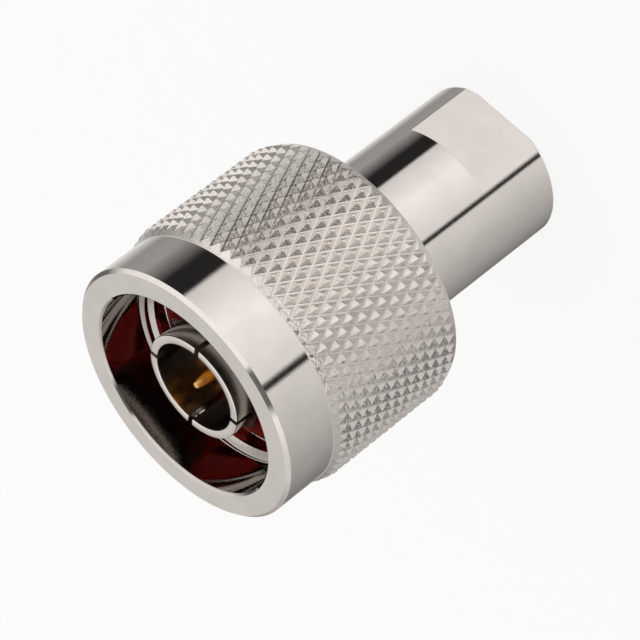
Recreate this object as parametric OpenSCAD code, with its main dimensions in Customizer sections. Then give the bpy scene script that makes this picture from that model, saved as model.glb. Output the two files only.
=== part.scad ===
// N type coaxial plug with a knurled coupling nut, on a straight adapter body
// whose rear end takes a small screw-on jack.
// Z runs along the axis. The rear face stands at Z = 0 and the mouth of the plug looks up.
// The wrench flats face along X.

/* [Coupling nut] */
// Length of the nut, from its rear face to its mouth
nut_len = 16.4; // [15:0.1:20]
// Radius over the smooth ring at the mouth
nut_ring_r = 10.02; // [9.6:0.02:10.3]
// Length of the smooth ring
nut_ring_len = 4.35; // [3.4:0.05:5.4]
// Radius of the plain bore that leads into the thread
nut_mouth_r = 8; // [7.9:0.05:8.4]
// Depth of that plain bore
nut_mouth_depth = 3.75; // [2.5:0.05:4.5]
// Length of the 5/8-24 thread behind the plain bore
nut_thread_len = 2.1; // [1.8:0.1:3.6]
// Minor radius of the 5/8-24 thread
nut_thread_minor_r = 7.365; // [7.3:0.005:7.45]
// Radius of the relief between the thread and the rear wall
nut_relief_r = 8; // [7.7:0.05:8.4]
// Thickness of the rear wall that pulls on the body's flange
nut_wall = 3.6; // [3.3:0.1:4.2]
// Outer edge break at the mouth
nut_mouth_edge = 0.4; // [0.1:0.05:0.6]
// Inner edge break at the mouth
nut_bore_edge = 0.15; // [0.05:0.05:0.3]

/* [Diamond knurl] */
// Radius over the points of the knurl
knurl_tip_r = 10.5; // [10.4:0.05:10.9]
// Depth of the knurl's grooves
knurl_depth = 0.24; // [0.16:0.02:0.45]
// Grooves of each hand around the nut
knurl_starts = 66; // [40:2:80]
// Angle of the grooves to the axis
knurl_angle = 27.5; // [20:0.5:45]
// Length of the plain bevel at each end of the knurl
knurl_bevel = 0.3; // [0.15:0.05:0.4]
// Slope of that bevel, in degrees from the axis
knurl_bevel_angle = 28; // [20:1:45]
// Step between the smooth ring and the foot of the bevel
knurl_step = 0.03; // [0.02:0.01:0.06]

/* [Body] */
// Radius of the plain barrel
body_r = 6.1; // [6:0.05:6.5]
// How far the barrel stands out behind the nut
body_tail = 14.7; // [12:0.1:18]
// Distance across the wrench flats
flat_across = 10; // [9.6:0.1:11]
// Length of the wrench flats
flat_len = 6; // [4:0.1:8]
// Edge break at the rear end, across the end face
tail_edge_r = 0.5; // [0.2:0.05:0.6]
// Edge break at the rear end, along the barrel
tail_edge_z = 0.3; // [0.1:0.05:0.6]
// Radius of the flange that the nut pulls on
flange_r = 7.2; // [7:0.05:7.25]
// Thickness of that flange
flange_t = 1.5; // [1.2:0.1:2]

/* [Rear socket] */
// Minor radius of the M8 x 0.75 thread in the rear socket
socket_minor_r = 3.594; // [3.55:0.002:3.65]
// Depth of the rear socket
socket_depth = 7.2; // [6:0.1:8.5]
// Length of the thread run-out at the socket's floor
socket_relief_len = 0.9; // [0.6:0.1:1.4]
// Radius of that run-out
socket_relief_r = 4.05; // [4:0.05:4.3]
// Edge break at the socket's mouth
socket_edge = 0.5; // [0.3:0.05:0.6]

/* [Outer contact] */
// Outer radius of the slotted sleeve
sleeve_r = 4.17; // [4:0.01:4.2]
// Bore radius of the sleeve, the 7 mm air line
sleeve_bore_r = 3.5; // [3.45:0.01:3.55]
// How far the sleeve's end lies inside the nut's mouth
sleeve_inset = 1.04; // [0.5:0.02:2]
// Height of the sleeve above the hub that the gasket sits on
sleeve_len = 8.2; // [7.5:0.1:9]
// Number of slots in the sleeve
slot_count = 4; // [2:2:6]
// Width of a slot
slot_w = 0.4; // [0.2:0.05:0.6]
// Length of a slot
slot_len = 7.4; // [5:0.1:7.5]
// Turn of the slots from the wrench flats
slot_turn = 4.5; // [0:0.5:45]
// Edge break at the sleeve's end
sleeve_edge = 0.12; // [0.05:0.01:0.2]
// Radius of the hub
hub_r = 4.6; // [4.5:0.05:4.9]
// Radius of the root that screws into the body
root_r = 5; // [4.95:0.01:5.1]
// Length of that root
root_len = 5; // [4.6:0.1:5.6]
// Radius of the pocket behind the air line, which holds the insulators
pocket_r = 4.1; // [3.9:0.05:4.2]
// Height of that pocket's end above the flange
pocket_rise = 0.3; // [0:0.05:0.6]

/* [Centre contact] */
// Radius of the front pin
pin_r = 0.82; // [0.8:0.01:0.84]
// Radius of the pin's small flat end
pin_end_r = 0.22; // [0.15:0.01:0.35]
// Length of the pin's taper
pin_taper = 2.4; // [1:0.1:3]
// Depth of the pin's end inside the sleeve
pin_inset = 0.2; // [0:0.05:1.5]
// Depth of the pin's shoulder inside the sleeve
shoulder_inset = 5.3; // [5.26:0.02:5.6]
// Radius of the centre line behind the shoulder
line_r = 1.52; // [1.5:0.01:1.54]
// Radius of the pin in the rear socket
rear_pin_r = 0.5; // [0.45:0.01:0.6]
// Radius of the rod inside the rear insulator
stem_r = 0.9; // [0.8:0.05:1.2]
// Depth of the rear pin's end inside the socket
rear_pin_inset = 2.2; // [1.5:0.1:3.5]
// Radius of the collar that the insulators hold
collar_r = 1.9; // [1.8:0.05:2.3]
// Length of that collar
collar_len = 1.2; // [0.8:0.1:1.6]

/* [Insulators] */
// Thickness of the front insulator
bead_len = 3; // [2.6:0.1:3.2]
// Radius of the rear insulator in the body
bush_r = 2.6; // [2.4:0.05:3]

/* [Gasket and ring] */
// Thickness of the face gasket
gasket_t = 1.5; // [1.2:0.1:1.8]
// Outer radius of the face gasket
gasket_r = 7.1; // [6.5:0.05:7.2]
// Outer radius of the split retaining ring
ring_r = 6.65; // [6.55:0.05:6.8]
// Inner radius of the split retaining ring
ring_bore_r = 5.7; // [5.6:0.05:5.8]
// Thickness of the split retaining ring
ring_t = 0.8; // [0.6:0.05:1]
// Opening in the split retaining ring, in degrees
ring_gap = 24; // [10:1:40]

/* [Clearances] */
// Between the nut's rear bore and the barrel
run_gap = 0.1; // [0.05:0.01:0.15]
// Between the nut and what stops it along the axis
end_gap = 0.1; // [0.05:0.01:0.2]
// Between pieces that are pushed or screwed together
seat_gap = 0.03; // [0.01:0.01:0.05]
// Around the retaining ring in its two grooves
ring_play = 0.1; // [0.05:0.01:0.2]

/* [Hidden] */
$fn = 96;
// Overlap of a cut past the face it opens
eps = 0.5;
// How deep the knurled sleeve is rooted in the nut's plain core
knurl_root = 0.45;

// Heights along the axis
nut_z0 = body_tail;
nut_z1 = body_tail + nut_len;
wall_z = nut_z0 + nut_wall;
flange_z0 = wall_z + end_gap;
flange_z1 = flange_z0 + flange_t;
root_z0 = flange_z1 - root_len;
sleeve_z1 = nut_z1 - sleeve_inset;
hub_z1 = sleeve_z1 - sleeve_len;
thread_z1 = nut_z1 - nut_mouth_depth;
thread_z0 = thread_z1 - nut_thread_len;
knurl_z0 = nut_z0;
knurl_z1 = nut_z1 - nut_ring_len;
pin_z1 = sleeve_z1 - pin_inset;
shoulder_z = sleeve_z1 - shoulder_inset;
pocket_z1 = flange_z1 + pocket_rise;
bead_z0 = pocket_z1 - bead_len;
collar_z0 = bead_z0 - collar_len / 2;
collar_z1 = bead_z0 + collar_len / 2;
ring_z = nut_z0 + nut_wall / 2;

knurl_valley_r = knurl_tip_r - knurl_depth;
core_r = min(knurl_valley_r, nut_ring_r) - knurl_root / 2;

// ---- Body: barrel, flange and rear socket, turned in one piece ----

module body_profile() {
    polygon([
        [0, 0],
        [body_r - tail_edge_r, 0],
        [body_r, tail_edge_z],
        [body_r, flange_z0],
        [flange_r, flange_z0],
        [flange_r, flange_z1],
        [0, flange_z1]
    ]);
}

module rear_socket() {
    translate([0, 0, -eps])
        cylinder(h = socket_depth + eps, r = socket_minor_r);
    translate([0, 0, socket_depth - socket_relief_len])
        cylinder(h = socket_relief_len, r = socket_relief_r);
    translate([0, 0, -eps])
        cylinder(h = socket_edge + eps, r1 = socket_minor_r + socket_edge + eps, r2 = socket_minor_r);
}

module wrench_flats() {
    for (side = [-1, 1])
        translate([side * (flat_across / 2 + body_r), 0, flat_len / 2 - eps])
            cube([2 * body_r, 3 * body_r, flat_len + 2 * eps], center = true);
}

module ring_groove(r_in, r_out) {
    translate([0, 0, ring_z - ring_t / 2 - ring_play])
        difference() {
            cylinder(h = ring_t + 2 * ring_play, r = r_out);
            translate([0, 0, -eps])
                cylinder(h = ring_t + 2 * ring_play + 2 * eps, r = r_in);
        }
}

module body() {
    color("silver")
        difference() {
            rotate_extrude() body_profile();
            rear_socket();
            wrench_flats();
            ring_groove(ring_bore_r - ring_play, body_r + eps);
            // seat of the rear insulator
            cylinder(h = flange_z1, r = bush_r + seat_gap);
            // threaded seat of the outer contact
            translate([0, 0, root_z0])
                cylinder(h = root_len + eps, r = root_r + seat_gap);
        }
}

// ---- Outer contact: slotted sleeve, hub and screwed root ----

module outer_contact_profile() {
    polygon([
        [pocket_r, root_z0],
        [root_r, root_z0],
        [root_r, flange_z1],
        [hub_r, flange_z1],
        [hub_r, hub_z1],
        [sleeve_r, hub_z1],
        [sleeve_r, sleeve_z1 - sleeve_edge],
        [sleeve_r - sleeve_edge, sleeve_z1],
        [sleeve_bore_r + sleeve_edge, sleeve_z1],
        [sleeve_bore_r, sleeve_z1 - sleeve_edge],
        [sleeve_bore_r, pocket_z1],
        [pocket_r, pocket_z1]
    ]);
}

module outer_contact() {
    color("gainsboro")
        difference() {
            rotate_extrude() outer_contact_profile();
            for (i = [0 : slot_count - 1])
                rotate([0, 0, slot_turn + i * 360 / slot_count])
                    translate([0, -slot_w / 2, sleeve_z1 - slot_len])
                        cube([2 * sleeve_r, slot_w, slot_len + eps]);
        }
}

// ---- Insulators: two turned pieces that clamp the centre contact's collar ----

module front_insulator() {
    color("white")
        rotate_extrude()
            polygon([
                [collar_r + seat_gap, bead_z0],
                [pocket_r - seat_gap, bead_z0],
                [pocket_r - seat_gap, pocket_z1 - seat_gap],
                [line_r + seat_gap, pocket_z1 - seat_gap],
                [line_r + seat_gap, collar_z1 + seat_gap],
                [collar_r + seat_gap, collar_z1 + seat_gap]
            ]);
}

module rear_insulator() {
    color("white")
        rotate_extrude()
            polygon([
                [stem_r + seat_gap, socket_depth],
                [bush_r, socket_depth],
                [bush_r, root_z0 + seat_gap],
                [pocket_r - seat_gap, root_z0 + seat_gap],
                [pocket_r - seat_gap, bead_z0 - seat_gap],
                [collar_r + seat_gap, bead_z0 - seat_gap],
                [collar_r + seat_gap, collar_z0 - seat_gap],
                [stem_r + seat_gap, collar_z0 - seat_gap]
            ]);
}

// ---- Centre contact: a pin at each end of one turned rod ----

module centre_contact() {
    color("gold")
        rotate_extrude()
            polygon([
                [0, rear_pin_inset],
                [rear_pin_r / 2, rear_pin_inset],
                [rear_pin_r, rear_pin_inset + rear_pin_r],
                [rear_pin_r, socket_depth],
                [stem_r, socket_depth],
                [stem_r, collar_z0],
                [collar_r, collar_z0],
                [collar_r, collar_z1],
                [line_r, collar_z1],
                [line_r, shoulder_z],
                [pin_r, shoulder_z],
                [pin_r, pin_z1 - pin_taper],
                [pin_end_r, pin_z1],
                [0, pin_z1]
            ]);
}

// ---- Face gasket: a flat silicone washer around the hub ----

module face_gasket() {
    color("darkred")
        translate([0, 0, flange_z1])
            difference() {
                cylinder(h = gasket_t, r = gasket_r);
                translate([0, 0, -eps])
                    cylinder(h = gasket_t + 2 * eps, r = hub_r + seat_gap);
            }
}

// ---- Retaining ring: a split spring ring, half in the body and half in the nut ----

module retaining_ring() {
    color("dimgray")
        rotate([0, 0, ring_gap / 2])
            rotate_extrude(angle = 360 - ring_gap)
                translate([ring_bore_r, ring_z - ring_t / 2])
                    square([ring_r - ring_bore_r, ring_t]);
}

// ---- Coupling nut: bored and threaded inside, diamond knurled outside ----

// The grooves of both hands meet on a grid of half steps. A grid point whose
// two steps add up to an even number is a crossing of grooves, and the point
// between four crossings is the tip of a pyramid.
module knurl(z0, z1) {
    cols = 2 * knurl_starts;
    wanted_step = PI * knurl_tip_r / knurl_starts / tan(knurl_angle);
    rows = max(2, round((z1 - z0 - 2 * knurl_bevel) / wanted_step));
    step = (z1 - z0 - 2 * knurl_bevel) / rows;
    inner_r = core_r - knurl_root / 2;
    foot_r = nut_ring_r + knurl_step;

    function at(r, i, z) = [r * cos(180 * i / knurl_starts), r * sin(180 * i / knurl_starts), z];
    function ring(r, z) = [for (i = [0 : cols - 1]) at(r, i, z)];
    function bevel_r(j) = foot_r + (knurl_bevel + min(j, rows - j) * step) * tan(knurl_bevel_angle);
    function grid_r(i, j) = min(bevel_r(j), (i + j) % 2 == 0 ? knurl_valley_r : knurl_tip_r);

    // rings from the bottom of the inner wall, out and up, and back to its top
    points = concat(
        ring(inner_r, z0),
        ring(foot_r, z0),
        [for (j = [0 : rows]) for (i = [0 : cols - 1]) at(grid_r(i, j), i, z0 + knurl_bevel + j * step)],
        ring(foot_r, z1),
        ring(inner_r, z1)
    );
    last = rows + 4;
    function id(k, i) = k * cols + i % cols;

    // each square of the grid is folded along its groove
    folded = [for (k = [1 : last - 2]) for (i = [0 : cols - 1])
        let (a = id(k, i), b = id(k, i + 1), c = id(k + 1, i + 1), d = id(k + 1, i))
        each (i + k) % 2 == 0 ? [[a, d, c], [a, c, b]] : [[a, d, b], [b, d, c]]];
    flat_faces = [for (k = [0, last - 1, last]) for (i = [0 : cols - 1])
        [id(k, i), id((k + 1) % (last + 1), i), id((k + 1) % (last + 1), i + 1), id(k, i + 1)]];
    polyhedron(points = points, faces = concat(folded, flat_faces));
}

module nut_profile() {
    polygon([
        [body_r + run_gap, nut_z0],
        [core_r, nut_z0],
        [core_r, knurl_z1],
        [nut_ring_r, knurl_z1],
        [nut_ring_r, nut_z1 - nut_mouth_edge],
        [nut_ring_r - nut_mouth_edge, nut_z1],
        [nut_mouth_r + nut_bore_edge, nut_z1],
        [nut_mouth_r, nut_z1 - nut_bore_edge],
        [nut_mouth_r, thread_z1],
        [nut_thread_minor_r, thread_z1 - (nut_mouth_r - nut_thread_minor_r) / 2],
        [nut_thread_minor_r, thread_z0],
        [nut_relief_r, thread_z0],
        [nut_relief_r, wall_z],
        [body_r + run_gap, wall_z]
    ]);
}

module coupling_nut() {
    color("silver")
        difference() {
            union() {
                rotate_extrude() nut_profile();
                knurl(knurl_z0, knurl_z1);
            }
            ring_groove(body_r - eps, ring_r + ring_play);
        }
}

body();
outer_contact();
front_insulator();
rear_insulator();
centre_contact();
face_gasket();
retaining_ring();
coupling_nut();
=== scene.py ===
import math

import bpy
import bmesh
from mathutils import Euler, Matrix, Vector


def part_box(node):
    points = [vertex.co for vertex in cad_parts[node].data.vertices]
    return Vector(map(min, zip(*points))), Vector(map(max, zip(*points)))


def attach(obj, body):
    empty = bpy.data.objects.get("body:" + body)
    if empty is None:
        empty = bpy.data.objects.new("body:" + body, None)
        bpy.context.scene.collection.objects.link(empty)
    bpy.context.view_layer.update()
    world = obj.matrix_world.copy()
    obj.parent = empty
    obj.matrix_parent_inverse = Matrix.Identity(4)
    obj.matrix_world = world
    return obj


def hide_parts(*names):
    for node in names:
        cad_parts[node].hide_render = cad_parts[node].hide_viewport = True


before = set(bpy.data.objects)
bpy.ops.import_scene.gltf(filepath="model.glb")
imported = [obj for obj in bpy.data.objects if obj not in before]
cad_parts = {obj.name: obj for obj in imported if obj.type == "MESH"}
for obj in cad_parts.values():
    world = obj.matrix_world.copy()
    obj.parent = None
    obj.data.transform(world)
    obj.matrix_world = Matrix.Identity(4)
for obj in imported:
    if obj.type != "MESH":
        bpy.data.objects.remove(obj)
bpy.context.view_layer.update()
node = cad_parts


# ---- Body: barrel, flange and rear socket ----
# One piece of turned brass under bright nickel: a plain barrel with two milled
# wrench flats, a flange that the coupling nut pulls on, and a small M8 socket at
# the back. Turned as one outline, milled with two cutter blocks, then tapped.

MM = 0.001
body_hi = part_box("body")[1]
BARREL_R = 6.1
TAIL_EDGE_R = 0.5
TAIL_EDGE_Z = 0.3
FLANGE_R = body_hi.x / MM
FLANGE_TOP = body_hi.z / MM
FLANGE_FOOT = FLANGE_TOP - 1.5
FLAT_ACROSS = 10.0
FLAT_LEN = 6.0
SOCKET_R = 3.594
SOCKET_EDGE = 0.5
SOCKET_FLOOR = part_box("rear_insulator")[0].z / MM
SOCKET_MAJOR_R = 4.0
SOCKET_PITCH = 0.75
SOCKET_RELIEF_R = 4.05
SOCKET_RELIEF_LEN = 0.9
BUSH_HOLE_R = 2.63
ROOT_HOLE_R = 5.03
ROOT_FOOT = 14.9
RING_Z = 16.5
RING_GROOVE_R = 5.6
RING_GROOVE_HALF = 0.5
BARREL_EDGE = 0.05
NICKEL = (0.86, 0.81, 0.77)


def outline_vertex(name, r, z):
    """Starts a new piece as one vertex, in edit mode, at a radius and a height."""
    bpy.ops.object.select_all(action="DESELECT")
    bpy.ops.mesh.primitive_plane_add(size=MM)
    piece = bpy.context.object
    piece.name = name
    bpy.ops.object.mode_set(mode="EDIT")
    bpy.ops.mesh.select_mode(type="VERT")
    bpy.ops.mesh.merge(type="CENTER")
    bpy.ops.transform.translate(value=(r * MM, 0, z * MM))
    return piece


def draw_on(stops, r, z):
    """Carries the vertex at (r, z) on through more stops of the outline."""
    for next_r, next_z in stops:
        bpy.ops.mesh.extrude_vertices_move(
            TRANSFORM_OT_translate={"value": ((next_r - r) * MM, 0, (next_z - z) * MM)})
        r, z = next_r, next_z
    bpy.ops.mesh.select_all(action="SELECT")
    bpy.ops.mesh.remove_doubles(threshold=1e-7)


def turned(name, outline, turns=192):
    """Carries a closed outline of (radius, height) once round the axis."""
    piece = outline_vertex(name, *outline[0])
    draw_on(outline[1:] + outline[:1], *outline[0])
    bpy.ops.mesh.spin(steps=turns, angle=2 * math.pi, center=(0, 0, 0), axis=(0, 0, 1))
    bpy.ops.mesh.select_all(action="SELECT")
    bpy.ops.mesh.remove_doubles(threshold=1e-7)
    bpy.ops.mesh.normals_make_consistent(inside=False)
    bpy.ops.object.mode_set(mode="OBJECT")
    return piece


def finish_modifier(piece, kind, **settings):
    """Adds one modifier with its settings and applies it."""
    bpy.ops.object.select_all(action="DESELECT")
    piece.select_set(True)
    bpy.context.view_layer.objects.active = piece
    modifier = piece.modifiers.new(kind, kind)
    for key, value in settings.items():
        setattr(modifier, key, value)
    bpy.ops.object.modifier_apply(modifier=modifier.name)


def break_edges(piece, width, segments=2, angle=30):
    """Rounds each edge that is sharper than the angle, as tumbling and plating do."""
    finish_modifier(piece, "BEVEL", width=width * MM, segments=segments,
                    limit_method="ANGLE", angle_limit=math.radians(angle))


def cut_away(piece, *tools):
    """Takes the tools' bodies away from the piece, then removes the tools."""
    for tool in tools:
        finish_modifier(piece, "BOOLEAN", operation="DIFFERENCE", solver="EXACT", object=tool)
        bpy.data.objects.remove(tool)


def shade(piece, angle=30):
    """Smooth shading that stays flat on flat faces and crisp at sharp edges."""
    bpy.ops.object.select_all(action="DESELECT")
    piece.select_set(True)
    bpy.context.view_layer.objects.active = piece
    bpy.ops.object.shade_smooth_by_angle(angle=math.radians(angle))
    finish_modifier(piece, "WEIGHTED_NORMAL", mode="FACE_AREA", weight=50, keep_sharp=True)


def tap(name, minor_r, major_r, pitch, start, end):
    """A thread cutter: a 60 degree tooth carried along a helix from start to end."""
    overlap = 0.15
    steps = 96
    foot_r = minor_r - overlap
    half_crest = pitch / 16
    half_foot = half_crest + (major_r - foot_r) * math.tan(math.radians(30))
    tooth = [(foot_r, -half_foot), (major_r, -half_crest),
             (major_r, half_crest), (foot_r, half_foot)]
    tool = outline_vertex(name, foot_r, start - half_foot)
    draw_on(tooth[1:] + tooth[:1], *tooth[0])
    bpy.ops.object.mode_set(mode="OBJECT")
    turns = math.ceil((end - start) / pitch)
    finish_modifier(tool, "SCREW", angle=2 * math.pi, screw_offset=pitch * MM,
                    iterations=turns, steps=steps, render_steps=steps,
                    use_merge_vertices=False, use_smooth_shade=False)
    bpy.ops.object.mode_set(mode="EDIT")
    bpy.ops.mesh.select_all(action="DESELECT")
    bpy.ops.mesh.select_mode(type="EDGE")
    bpy.ops.mesh.select_non_manifold()
    bpy.ops.mesh.edge_face_add()
    bpy.ops.mesh.select_all(action="DESELECT")
    bpy.ops.mesh.select_non_manifold()
    bpy.ops.mesh.fill_holes(sides=0)
    bpy.ops.mesh.select_all(action="SELECT")
    bpy.ops.mesh.normals_make_consistent(inside=False)
    bpy.ops.object.mode_set(mode="OBJECT")
    return tool


def plating(name, colour, roughness, marks, peel, tint=0.04, rolled_r=None, painted_shade=None):
    """Bright plate over turned metal: fine rings from the lathe, a slight orange peel
    and small changes of gloss and tone. marks and peel are heights in mm. Outside
    rolled_r the skin is the coarser one that knurling wheels leave. The last argument
    is painted shade, a darker colour where the part lies deep in the cavity: along the
    radius or the height, from where to where the full colour returns, and the share
    of the colour kept in the shaded part."""
    lathe_scale, lathe_along = 9000, 60
    skin_scale, rolled_scale, rolled_relief = 7000, 4600, 26
    patch_scale = 520
    material = bpy.data.materials.new(name)
    material.use_nodes = True
    nodes, links = material.node_tree.nodes, material.node_tree.links
    shader = nodes["Principled BSDF"]
    shader.inputs["Metallic"].default_value = 1.0
    place = nodes.new("ShaderNodeTexCoord")
    apart = nodes.new("ShaderNodeSeparateXYZ")
    links.new(place.outputs["Object"], apart.inputs[0])
    # the distance from the axis
    square_x = nodes.new("ShaderNodeMath")
    square_x.operation = "MULTIPLY"
    links.new(apart.outputs["X"], square_x.inputs[0])
    links.new(apart.outputs["X"], square_x.inputs[1])
    square = nodes.new("ShaderNodeMath")
    square.operation = "MULTIPLY_ADD"
    links.new(apart.outputs["Y"], square.inputs[0])
    links.new(apart.outputs["Y"], square.inputs[1])
    links.new(square_x.outputs[0], square.inputs[2])
    radius = nodes.new("ShaderNodeMath")
    radius.operation = "SQRT"
    links.new(square.outputs[0], radius.inputs[0])
    # lathe rings: the pattern changes with radius and height and hardly with the turn
    stretch = nodes.new("ShaderNodeMapping")
    stretch.inputs["Scale"].default_value = (lathe_along, lathe_along, lathe_scale)
    links.new(place.outputs["Object"], stretch.inputs["Vector"])
    outwards = nodes.new("ShaderNodeMath")
    outwards.operation = "MULTIPLY"
    outwards.inputs[1].default_value = lathe_scale
    links.new(radius.outputs[0], outwards.inputs[0])
    rings = nodes.new("ShaderNodeTexNoise")
    rings.noise_dimensions = "4D"
    rings.inputs["Scale"].default_value = 1.0
    rings.inputs["Detail"].default_value = 3.0
    links.new(stretch.outputs["Vector"], rings.inputs["Vector"])
    links.new(outwards.outputs[0], rings.inputs["W"])
    rings_bump = nodes.new("ShaderNodeBump")
    rings_bump.inputs["Distance"].default_value = marks * MM
    rings_bump.inputs["Strength"].default_value = 1.0
    links.new(rings.outputs["Fac"], rings_bump.inputs["Height"])
    # orange peel of the plate, and the coarser skin of the rolled part
    skin = nodes.new("ShaderNodeTexNoise")
    skin.inputs["Scale"].default_value = skin_scale
    skin.inputs["Detail"].default_value = 4.0
    skin.inputs["Roughness"].default_value = 0.6
    links.new(place.outputs["Object"], skin.inputs["Vector"])
    skin_bump = nodes.new("ShaderNodeBump")
    skin_bump.inputs["Distance"].default_value = peel * MM
    skin_bump.inputs["Strength"].default_value = 1.0
    links.new(skin.outputs["Fac"], skin_bump.inputs["Height"])
    if rolled_r:
        changes = ((skin_bump.inputs["Distance"], peel * MM, rolled_relief * peel * MM),
                   (skin.inputs["Scale"], skin_scale, rolled_scale))
        for socket, turned_value, rolled_value in changes:
            rolled = nodes.new("ShaderNodeMapRange")
            rolled.inputs["From Min"].default_value = rolled_r * MM
            rolled.inputs["From Max"].default_value = (rolled_r + 0.02) * MM
            rolled.inputs["To Min"].default_value = turned_value
            rolled.inputs["To Max"].default_value = rolled_value
            links.new(radius.outputs[0], rolled.inputs["Value"])
            links.new(rolled.outputs["Result"], socket)
    links.new(rings_bump.outputs["Normal"], skin_bump.inputs["Normal"])
    links.new(skin_bump.outputs["Normal"], shader.inputs["Normal"])
    # gloss and tone change together, in soft patches
    patches = nodes.new("ShaderNodeTexNoise")
    patches.inputs["Scale"].default_value = patch_scale
    patches.inputs["Detail"].default_value = 5.0
    links.new(place.outputs["Object"], patches.inputs["Vector"])
    gloss = nodes.new("ShaderNodeMapRange")
    gloss.inputs["From Min"].default_value = 0.3
    gloss.inputs["From Max"].default_value = 0.7
    gloss.inputs["To Min"].default_value = roughness * 0.85
    gloss.inputs["To Max"].default_value = roughness * 1.2
    links.new(patches.outputs["Fac"], gloss.inputs["Value"])
    links.new(gloss.outputs["Result"], shader.inputs["Roughness"])
    tone = nodes.new("ShaderNodeValToRGB")
    tone.color_ramp.elements[0].position = 0.3
    tone.color_ramp.elements[0].color = [c * (1 - tint) for c in colour] + [1]
    tone.color_ramp.elements[1].position = 0.7
    tone.color_ramp.elements[1].color = [min(1, c * (1 + tint)) for c in colour] + [1]
    links.new(patches.outputs["Fac"], tone.inputs["Fac"])
    # painted shade: the colour is darkened where the part lies inside the cavity, standing in
    # for the shadow there
    if painted_shade:
        along, start, end, share = painted_shade
        bright = nodes.new("ShaderNodeMapRange")
        bright.inputs["From Min"].default_value = start * MM
        bright.inputs["From Max"].default_value = end * MM
        bright.inputs["To Min"].default_value = share
        measure = radius.outputs[0] if along == "radius" else apart.outputs["Z"]
        links.new(measure, bright.inputs["Value"])
        shaded_tone = nodes.new("ShaderNodeVectorMath")
        shaded_tone.operation = "SCALE"
        links.new(tone.outputs["Color"], shaded_tone.inputs[0])
        links.new(bright.outputs["Result"], shaded_tone.inputs["Scale"])
        links.new(shaded_tone.outputs["Vector"], shader.inputs["Base Color"])
    else:
        links.new(tone.outputs["Color"], shader.inputs["Base Color"])
    return material


def dress(piece, material):
    """Gives the whole piece one material."""
    piece.data.materials.clear()
    piece.data.materials.append(material)


body = turned("barrel", [
    (SOCKET_R + SOCKET_EDGE, 0), (SOCKET_R, SOCKET_EDGE),
    (SOCKET_R, SOCKET_FLOOR - SOCKET_RELIEF_LEN),
    (SOCKET_RELIEF_R, SOCKET_FLOOR - SOCKET_RELIEF_LEN), (SOCKET_RELIEF_R, SOCKET_FLOOR),
    (BUSH_HOLE_R, SOCKET_FLOOR), (BUSH_HOLE_R, ROOT_FOOT),
    (ROOT_HOLE_R, ROOT_FOOT), (ROOT_HOLE_R, FLANGE_TOP),
    (FLANGE_R, FLANGE_TOP), (FLANGE_R, FLANGE_FOOT), (BARREL_R, FLANGE_FOOT),
    (BARREL_R, RING_Z + RING_GROOVE_HALF), (RING_GROOVE_R, RING_Z + RING_GROOVE_HALF),
    (RING_GROOVE_R, RING_Z - RING_GROOVE_HALF), (BARREL_R, RING_Z - RING_GROOVE_HALF),
    (BARREL_R, TAIL_EDGE_Z), (BARREL_R - TAIL_EDGE_R, 0)])
block_x, block_y, block_z = 6, 16, 10
mill = []
for side in (-1, 1):
    middle = side * (FLAT_ACROSS / 2 + block_x / 2)
    bpy.ops.object.select_all(action="DESELECT")
    bpy.ops.mesh.primitive_cube_add(
        size=1, location=(middle * MM, 0, (FLAT_LEN - block_z / 2) * MM))
    block = bpy.context.object
    bpy.ops.transform.resize(value=(block_x * MM, block_y * MM, block_z * MM))
    mill.append(block)
cut_away(body, *mill)
break_edges(body, BARREL_EDGE, 2, 28)
cut_away(body, tap("socket_tap", SOCKET_R, SOCKET_MAJOR_R, SOCKET_PITCH,
                   -2 * SOCKET_PITCH, SOCKET_FLOOR - 0.2))
shade(body)
dress(body, plating("barrel_plate", NICKEL, 0.06, 0.0012, 0.0014))
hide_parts("body")
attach(body, "connector")


# ---- Insulators ----
# Two turned pieces of PTFE that clamp the collar of the centre contact. The front
# one closes the air line, the rear one is the white floor of the rear socket.


def clouded(name, dark, pale, scale, detail, relief, roughness, glow, glow_depth,
            glow_spread=(1.0, 0.2, 0.1)):
    """A dense material that light enters a little way, with soft clouds of tone and a
    faintly uneven skin. relief and glow_depth are in mm, glow_spread is the share of
    that depth for red, green and blue."""
    material = bpy.data.materials.new(name)
    material.use_nodes = True
    nodes, links = material.node_tree.nodes, material.node_tree.links
    shader = nodes["Principled BSDF"]
    shader.inputs["Roughness"].default_value = roughness
    shader.inputs["Subsurface Weight"].default_value = glow
    shader.inputs["Subsurface Scale"].default_value = glow_depth * MM
    shader.inputs["Subsurface Radius"].default_value = glow_spread
    place = nodes.new("ShaderNodeTexCoord")
    cloud = nodes.new("ShaderNodeTexNoise")
    cloud.inputs["Scale"].default_value = scale
    cloud.inputs["Detail"].default_value = detail
    tone = nodes.new("ShaderNodeValToRGB")
    tone.color_ramp.elements[0].color = dark + (1,)
    tone.color_ramp.elements[1].color = pale + (1,)
    bump = nodes.new("ShaderNodeBump")
    bump.inputs["Distance"].default_value = relief * MM
    links.new(place.outputs["Object"], cloud.inputs["Vector"])
    links.new(cloud.outputs["Fac"], tone.inputs["Fac"])
    links.new(cloud.outputs["Fac"], bump.inputs["Height"])
    links.new(tone.outputs["Color"], shader.inputs["Base Color"])
    links.new(bump.outputs["Normal"], shader.inputs["Normal"])
    return material


ptfe = clouded("ptfe_waxy", (0.82, 0.81, 0.78), (0.93, 0.92, 0.90), 900, 4, 0.004,
               roughness=0.42, glow=0.25, glow_depth=0.6)
dress(node["front_insulator"], ptfe)
dress(node["rear_insulator"], ptfe)


# ---- Centre contact ----
# One turned brass rod under gold plate, with the 1.64 mm N pin in front, a thicker
# air line behind its shoulder and a 1 mm pin in the rear socket.

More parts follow.
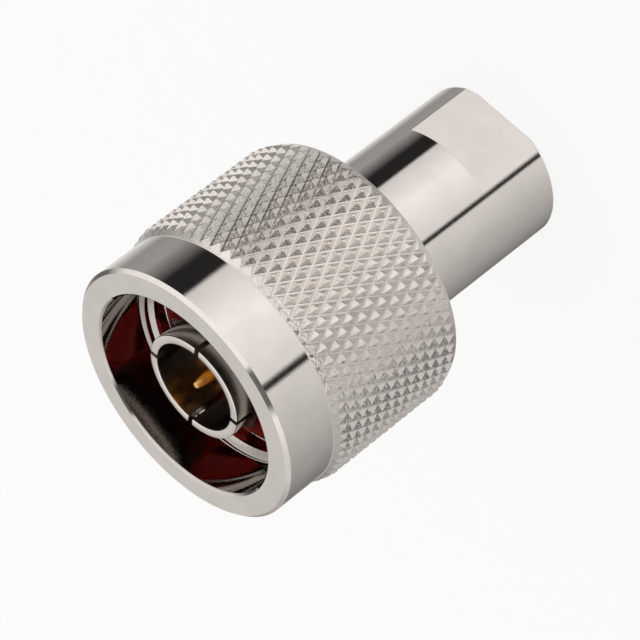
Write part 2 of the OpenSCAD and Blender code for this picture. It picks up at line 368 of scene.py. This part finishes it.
pin_lo, pin_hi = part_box("centre_contact")
PIN_TIP = pin_hi.z / MM
PIN_TAPER = 2.4
PIN_END_R = 0.22
PIN_SHOULDER = PIN_TIP - 5.1
PIN_R = 0.82
LINE_R = 1.52
COLLAR_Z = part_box("front_insulator")[0].z / MM
COLLAR_HALF = 0.6
COLLAR_R = 1.9
STEM_R = 0.9
REAR_PIN_END = pin_lo.z / MM
REAR_PIN_R = 0.5
REAR_PIN_END_R = 0.25

contact = turned("contact_pin", [
    (0.0, REAR_PIN_END), (REAR_PIN_END_R, REAR_PIN_END),
    (REAR_PIN_R, REAR_PIN_END + REAR_PIN_R), (REAR_PIN_R, SOCKET_FLOOR),
    (STEM_R, SOCKET_FLOOR), (STEM_R, COLLAR_Z - COLLAR_HALF),
    (COLLAR_R, COLLAR_Z - COLLAR_HALF), (COLLAR_R, COLLAR_Z + COLLAR_HALF),
    (LINE_R, COLLAR_Z + COLLAR_HALF), (LINE_R, PIN_SHOULDER), (PIN_R, PIN_SHOULDER),
    (PIN_R, PIN_TIP - PIN_TAPER), (PIN_END_R, PIN_TIP), (0.0, PIN_TIP)], 96)
break_edges(contact, 0.08, 3, 20)
shade(contact, 35)
dress(contact, plating("gold_plate", (0.92, 0.52, 0.14), 0.16, 0.0008, 0.0006))
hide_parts("centre_contact")
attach(contact, "connector")


# ---- Outer contact ----
# The slotted sleeve of the plug: bronze under bright nickel, bored to the 7 mm air
# line, with four saw cuts, a hub for the gasket and a root screwed into the body.

sleeve_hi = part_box("outer_contact")[1]
SLEEVE_TOP = sleeve_hi.z / MM
SLEEVE_R = 4.17
SLEEVE_BORE_R = 3.5
HUB_R = 4.6
HUB_TOP = SLEEVE_TOP - 8.2
ROOT_R = 5.0
POCKET_R = 4.1
POCKET_TOP = FLANGE_TOP + 0.3
SLOT_W = 0.4
SLOT_LEN = 7.4
SLOT_TURN = math.radians(4.5)

sleeve = turned("slotted_sleeve", [
    (POCKET_R, ROOT_FOOT), (ROOT_R, ROOT_FOOT), (ROOT_R, FLANGE_TOP), (HUB_R, FLANGE_TOP),
    (HUB_R, HUB_TOP), (SLEEVE_R, HUB_TOP), (SLEEVE_R, SLEEVE_TOP),
    (SLEEVE_BORE_R, SLEEVE_TOP), (SLEEVE_BORE_R, POCKET_TOP), (POCKET_R, POCKET_TOP)])
break_edges(sleeve, 0.1, 2, 30)
saw_len, saw_reach = 12, 10
saws = []
for quarter in range(2):
    bpy.ops.object.select_all(action="DESELECT")
    bpy.ops.mesh.primitive_cube_add(
        size=1, location=(0, 0, (SLEEVE_TOP - SLOT_LEN + saw_reach / 2) * MM))
    saw = bpy.context.object
    bpy.ops.transform.resize(value=(saw_len * MM, SLOT_W * MM, saw_reach * MM))
    bpy.ops.transform.rotate(value=-(SLOT_TURN + quarter * math.pi / 2), orient_axis="Z",
                             center_override=(0, 0, 0))
    bpy.ops.object.transform_apply(location=True, rotation=True, scale=True)
    saws.append(saw)
cut_away(sleeve, *saws)
shade(sleeve)
# painted shade: the sleeve's colour is darker below its end face, for the shadow in the nut's
# cavity
dress(sleeve, plating("sleeve_plate", (0.84, 0.78, 0.73), 0.16, 0.0012, 0.0009,
                      painted_shade=("height", SLEEVE_TOP - 0.3, SLEEVE_TOP - 0.1, 0.6)))
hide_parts("outer_contact")
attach(sleeve, "connector")


# ---- Face gasket ----
# A flat washer of red silicone round the hub, on the flange. The jack's rim bears
# on it, so it has soft edges and a satin skin.

gasket_lo, gasket_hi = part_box("face_gasket")
GASKET_R = gasket_hi.x / MM
GASKET_HOLE_R = 4.63
GASKET_FOOT = gasket_lo.z / MM
GASKET_TOP = gasket_hi.z / MM
gasket = turned("silicone_washer", [
    (GASKET_HOLE_R, GASKET_FOOT), (GASKET_R, GASKET_FOOT),
    (GASKET_R, GASKET_TOP), (GASKET_HOLE_R, GASKET_TOP)])
break_edges(gasket, 0.15, 3)
shade(gasket)
dress(gasket, clouded("red_silicone", (0.50, 0.005, 0.002), (0.78, 0.014, 0.005),
                      700, 5, 0.006, roughness=0.35, glow=0.15, glow_depth=0.5,
                      glow_spread=(1.0, 0.12, 0.06)))
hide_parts("face_gasket")
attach(gasket, "connector")


# ---- Retaining ring ----
# A split ring of bronze spring wire, half in the barrel's groove and half in the
# nut's. It is inside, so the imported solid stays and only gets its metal.

dress(node["retaining_ring"], plating("spring_bronze", (0.62, 0.42, 0.22), 0.35, 0.001, 0.0006))


# ---- Coupling nut ----
# Turned brass under bright nickel: a smooth ring at the mouth, a rolled diamond
# knurl behind it, a plain bore that leads into two turns of 5/8-24 thread, and a
# rear wall that pulls on the flange. Turned, tapped, then cut by the knurl.

nut_lo, nut_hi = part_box("coupling_nut")
NUT_BACK = nut_lo.z / MM
NUT_MOUTH = nut_hi.z / MM
NUT_WALL = NUT_BACK + 3.6
NUT_BORE_R = 6.2
NUT_GROOVE_R = 6.75
RING_R = 10.02
TIP_R = nut_hi.x / MM
KNURL_TOP = NUT_MOUTH - 4.35
KNURL_STEP = 0.03
KNURL_SLOPE = math.tan(math.radians(25))
KNURL_STARTS = 66
KNURL_ANGLE = math.radians(27.5)
KNURL_DEPTH = 0.32
KNURL_FLOOR = 0.1
KNURL_TURN = math.radians(-1.47)
KNURL_BEVEL = 0.3
KNURL_SHIFT = -0.058
KNURL_CELL = 1.908
MOUTH_R = 8.0
MOUTH_EDGE = 0.15
MOUTH_CHAMFER = 0.26
THREAD_TOP = NUT_MOUTH - 3.75
THREAD_FOOT = THREAD_TOP - 2.1
THREAD_LEAD = 0.32
THREAD_R = 7.365
THREAD_MAJOR_R = 7.9375
THREAD_PITCH = 25.4 / 24
RELIEF_R = 8.0

bevel_len = (TIP_R - RING_R - KNURL_STEP) / KNURL_SLOPE
nut = turned("coupling_nut_shell", [
    (NUT_BORE_R, NUT_BACK), (RING_R + KNURL_STEP, NUT_BACK),
    (TIP_R, NUT_BACK + bevel_len), (TIP_R, KNURL_TOP - bevel_len),
    (RING_R + KNURL_STEP, KNURL_TOP), (RING_R, KNURL_TOP),
    (RING_R, NUT_MOUTH - MOUTH_CHAMFER), (RING_R - MOUTH_CHAMFER, NUT_MOUTH),
    (MOUTH_R + MOUTH_EDGE, NUT_MOUTH), (MOUTH_R, NUT_MOUTH - MOUTH_EDGE),
    (MOUTH_R, THREAD_TOP), (THREAD_R, THREAD_TOP - THREAD_LEAD), (THREAD_R, THREAD_FOOT),
    (RELIEF_R, THREAD_FOOT), (RELIEF_R, NUT_WALL), (NUT_BORE_R, NUT_WALL),
    (NUT_BORE_R, RING_Z + RING_GROOVE_HALF), (NUT_GROOVE_R, RING_Z + RING_GROOVE_HALF),
    (NUT_GROOVE_R, RING_Z - RING_GROOVE_HALF), (NUT_BORE_R, RING_Z - RING_GROOVE_HALF)],
    turns=4 * KNURL_STARTS)
cut_away(nut, tap("nut_tap", THREAD_R, THREAD_MAJOR_R, THREAD_PITCH,
                  THREAD_FOOT - 0.7, THREAD_TOP + 0.5))


def pick(piece, kind, rule):
    """In edit mode, selects only the vertices, edges or faces that the rule wants."""
    bpy.ops.mesh.select_mode(type=kind)
    bpy.ops.mesh.select_all(action="DESELECT")
    mesh = bmesh.from_edit_mesh(piece.data)
    for part in {"VERT": mesh.verts, "EDGE": mesh.edges, "FACE": mesh.faces}[kind]:
        part.select_set(rule(part))
    bmesh.update_edit_mesh(piece.data)


def side_of_square(edge):
    """Whether an edge is a side between two poked squares, and no diagonal of one."""
    a, b = edge.verts[0].co, edge.verts[1].co
    along = abs(a.z - b.z) < 1e-7 or (a.xy - b.xy).length < 1e-7
    return along and all(len(face.verts) == 3 for face in edge.link_faces)


def groove_line(edge):
    """Whether an edge lies at the bottom of a groove, between two pointed diamonds."""
    a, b = edge.verts[0].co, edge.verts[1].co
    low = max(a.xy.length, b.xy.length) < (groove_r + 0.05) * MM
    return (low and abs(a.z - b.z) > 1e-6
            and all(len(face.verts) == 3 for face in edge.link_faces))


# The knurl is a drum. Its squares get their diagonals from a poke and lose their
# sides, which leaves diamonds. Each diamond is raised to a point, and each groove
# gets a narrow flat floor. The nut keeps what lies inside the drum.
drum_rows = 10
drum_foot = NUT_BACK + KNURL_BEVEL + KNURL_SHIFT - KNURL_CELL
groove_r = TIP_R - KNURL_DEPTH - KNURL_FLOOR / 2
pyramid = math.pi * TIP_R / KNURL_STARTS * math.cos(KNURL_ANGLE)
chord_sag = 0.00057 * groove_r
widen = 1 / math.cos(math.pi / KNURL_STARTS)
bpy.ops.object.select_all(action="DESELECT")
bpy.ops.mesh.primitive_cylinder_add(
    vertices=KNURL_STARTS, radius=groove_r * MM, depth=drum_rows * KNURL_CELL * MM,
    location=(0, 0, (drum_foot + drum_rows * KNURL_CELL / 2) * MM))
drum = bpy.context.object
bpy.ops.transform.rotate(value=-(math.pi / KNURL_STARTS + KNURL_TURN), orient_axis="Z",
                         center_override=(0, 0, 0))
bpy.ops.object.transform_apply(location=True, rotation=True, scale=True)
bpy.ops.object.mode_set(mode="EDIT")
pick(drum, "EDGE", lambda edge: abs(edge.verts[0].co.z - edge.verts[1].co.z) > MM)
bpy.ops.mesh.subdivide(number_cuts=drum_rows - 1)
pick(drum, "FACE", lambda face: len(face.verts) == 4)
bpy.ops.mesh.poke()
pick(drum, "VERT", lambda vert: vert.co.xy.length < groove_r * MM * 0.9995)
bpy.ops.transform.resize(value=(widen, widen, 1), center_override=(0, 0, 0))
pick(drum, "EDGE", side_of_square)
bpy.ops.mesh.dissolve_edges(use_verts=False)
pick(drum, "FACE", lambda face: len(face.verts) == 4)
bpy.ops.mesh.poke(offset=(pyramid + chord_sag) * MM)
pick(drum, "EDGE", groove_line)
bpy.ops.mesh.bevel(offset=KNURL_FLOOR / math.sqrt(2) * MM, segments=1, affect="EDGES",
                   clamp_overlap=True)
bpy.ops.object.mode_set(mode="OBJECT")
finish_modifier(nut, "BOOLEAN", operation="INTERSECT", solver="EXACT", object=drum)
bpy.data.objects.remove(drum)
shade(nut)
# painted shade: the nut's bore and thread, inside a radius of 8.02 mm, are painted darker for
# the shadow in its mouth
dress(nut, plating("nut_plate", NICKEL, 0.06, 0.0012, 0.0014,
                   rolled_r=RING_R + 0.04, painted_shade=("radius", 8.02, 8.2, 0.62)))
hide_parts("coupling_nut")
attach(nut, "nut")


# ---- Studio ----
# A plain white floor under the rear end, in a light tent. The tent is bright in
# front and grey behind, and polished metal shows its black flags and dark gaps.

bpy.ops.object.select_all(action="DESELECT")
bpy.ops.mesh.primitive_plane_add(size=3, location=(0, 0, -0.00002))
floor = bpy.context.object
floor.name = "studio_floor"
floor.visible_glossy = False
paper = bpy.data.materials.new("white_paper")
paper.use_nodes = True
paper_nodes, paper_links = paper.node_tree.nodes, paper.node_tree.links
paper_shader = paper_nodes["Principled BSDF"]
paper_shader.inputs["Roughness"].default_value = 0.9
paper_shader.inputs["Specular IOR Level"].default_value = 0.0
paper_place = paper_nodes.new("ShaderNodeTexCoord")
paper_grain = paper_nodes.new("ShaderNodeTexNoise")
paper_grain.inputs["Scale"].default_value = 300
paper_tone = paper_nodes.new("ShaderNodeValToRGB")
paper_tone.color_ramp.elements[0].color = (0.90, 0.90, 0.90, 1)
paper_tone.color_ramp.elements[1].color = (0.94, 0.94, 0.94, 1)
paper_light = paper_nodes.new("ShaderNodeEmission")
paper_light.inputs["Color"].default_value = (1, 1, 1, 1)
paper_path = paper_nodes.new("ShaderNodeLightPath")
# the part of plain white that the camera sees: the rest keeps the shadow
paper_share = paper_nodes.new("ShaderNodeMath")
paper_share.operation = "MULTIPLY"
paper_share.inputs[1].default_value = 0.85
paper_mix = paper_nodes.new("ShaderNodeMixShader")
paper_links.new(paper_place.outputs["Object"], paper_grain.inputs["Vector"])
paper_links.new(paper_grain.outputs["Fac"], paper_tone.inputs["Fac"])
paper_links.new(paper_tone.outputs["Color"], paper_shader.inputs["Base Color"])
paper_links.new(paper_path.outputs["Is Camera Ray"], paper_share.inputs[0])
paper_links.new(paper_share.outputs[0], paper_mix.inputs[0])
paper_links.new(paper_shader.outputs[0], paper_mix.inputs[1])
paper_links.new(paper_light.outputs[0], paper_mix.inputs[2])
paper_links.new(paper_mix.outputs[0], paper_nodes["Material Output"].inputs["Surface"])
dress(floor, paper)

tent = bpy.data.worlds.new("light_tent")
bpy.context.scene.world = tent
tent.use_nodes = True
tent_nodes, tent_links = tent.node_tree.nodes, tent.node_tree.links
tent_light = tent_nodes["Background"]
tent_out = tent_nodes["World Output"]
tent_place = tent_nodes.new("ShaderNodeTexCoord")
tent_apart = tent_nodes.new("ShaderNodeSeparateXYZ")
tent_links.new(tent_place.outputs["Generated"], tent_apart.inputs[0])
tent_turn = tent_nodes.new("ShaderNodeMath")
tent_turn.operation = "ARCTAN2"
tent_links.new(tent_apart.outputs["Y"], tent_turn.inputs[0])
tent_links.new(tent_apart.outputs["X"], tent_turn.inputs[1])
tent_share = tent_nodes.new("ShaderNodeMapRange")
tent_share.inputs["From Min"].default_value = -math.pi
tent_share.inputs["From Max"].default_value = math.pi
tent_links.new(tent_turn.outputs[0], tent_share.inputs["Value"])


def tent_ring(front, left, right, back, *panels):
    """How bright the tent is along one ring. Its wall changes evenly between front,
    sides and back. A panel on it is a lamp, a black flag or a dark gap: the bearings
    that it runs from and to, its brightness, and the width of its soft edge before
    and after. Bearings are in degrees from the front wrench flat."""
    corners = [(-180, back), (-90, left), (0, front), (90, right), (180, back)]

    def wall(bearing):
        start, end = [pair for pair in zip(corners, corners[1:]) if pair[0][0] <= bearing][-1]
        return start[1] + (end[1] - start[1]) * (bearing - start[0]) / (end[0] - start[0])

    stops = corners
    for first, last, value, before, after in panels:
        outer = (first - before, last + after)
        stops = [stop for stop in stops if not outer[0] <= stop[0] <= outer[1]]
        stops += [(first, value), (last, value)] + [(edge, wall(edge)) for edge in outer]
    ramp = tent_nodes.new("ShaderNodeValToRGB")
    while len(ramp.color_ramp.elements) < len(stops):
        ramp.color_ramp.elements.new(0.5)
    for element, (bearing, value) in zip(ramp.color_ramp.elements, sorted(stops)):
        element.position = (bearing + 180) / 360
        element.color = (value, value * 0.985, value * 0.97, 1)
    tent_links.new(tent_share.outputs["Result"], ramp.inputs["Fac"])
    return ramp.outputs["Color"]


def tent_layer(low, high, under, over):
    """Blends two rings of the tent between two heights of the looking direction."""
    height = tent_nodes.new("ShaderNodeMapRange")
    height.inputs["From Min"].default_value = low
    height.inputs["From Max"].default_value = high
    tent_links.new(tent_apart.outputs["Z"], height.inputs["Value"])
    blend = tent_nodes.new("ShaderNodeMix")
    blend.data_type = "RGBA"
    tent_links.new(height.outputs["Result"], blend.inputs[0])
    tent_links.new(under, blend.inputs[6])
    tent_links.new(over, blend.inputs[7])
    return blend.outputs[2]


# from the table up: the table with the wide flag's dull image, the two black flags
# and a lamp behind, the dark room with a lamp in front, the lit walls, the white roof
table = tent_ring(0.62, 0.63, 0.6, 0.42, (45, 62, 0.25, 45, 35))
flags = tent_ring(1.0, 0.6, 0.35, 0.2, (-58, -54, 0.03, 2, 3), (43, 64, 0.02, 3, 26),
                  (140, 150, 0.75, 25, 25))
room = tent_ring(0.55, 0.5, 0.45, 0.45, (-62, -35, 0.1, 26, 35), (34, 50, 1.0, 34, 30),
                 (120, 140, 0.15, 25, 40))
lit_walls = tent_ring(1.0, 0.87, 0.92, 0.55)
roof = tent_ring(1.0, 1.0, 1.0, 1.0, (-84, -48, 0.15, 12, 10))
tent_picture = tent_layer(-0.85, -0.6, table, flags)
tent_picture = tent_layer(-0.42, 0.0, tent_picture, room)
tent_picture = tent_layer(0.17, 0.38, tent_picture, lit_walls)
tent_picture = tent_layer(0.6, 0.8, tent_picture, roof)
tent_links.new(tent_picture, tent_light.inputs["Color"])
tent_path = tent_nodes.new("ShaderNodeLightPath")
tent_white = tent_nodes.new("ShaderNodeBackground")
tent_white.inputs["Color"].default_value = (1, 1, 1, 1)
tent_choice = tent_nodes.new("ShaderNodeMixShader")
tent_links.new(tent_path.outputs["Is Camera Ray"], tent_choice.inputs[0])
tent_links.new(tent_light.outputs[0], tent_choice.inputs[1])
tent_links.new(tent_white.outputs[0], tent_choice.inputs[2])
tent_links.new(tent_choice.outputs[0], tent_out.inputs["Surface"])

camera_data = bpy.data.cameras.new("product_camera")
camera = bpy.data.objects.new("product_camera", camera_data)
bpy.context.scene.collection.objects.link(camera)
camera.location = (0.225979, -0.089190, 0.152580)
camera.rotation_euler = Euler([math.radians(a) for a in (-47.9937, 43.9832, -79.1355)], "XYZ")
camera_data.sensor_width = 36
camera_data.lens = 225.866
camera_data.clip_start = 0.01
camera_data.clip_end = 10
bpy.context.scene.camera = camera
bpy.context.scene.view_settings.view_transform = "Standard"
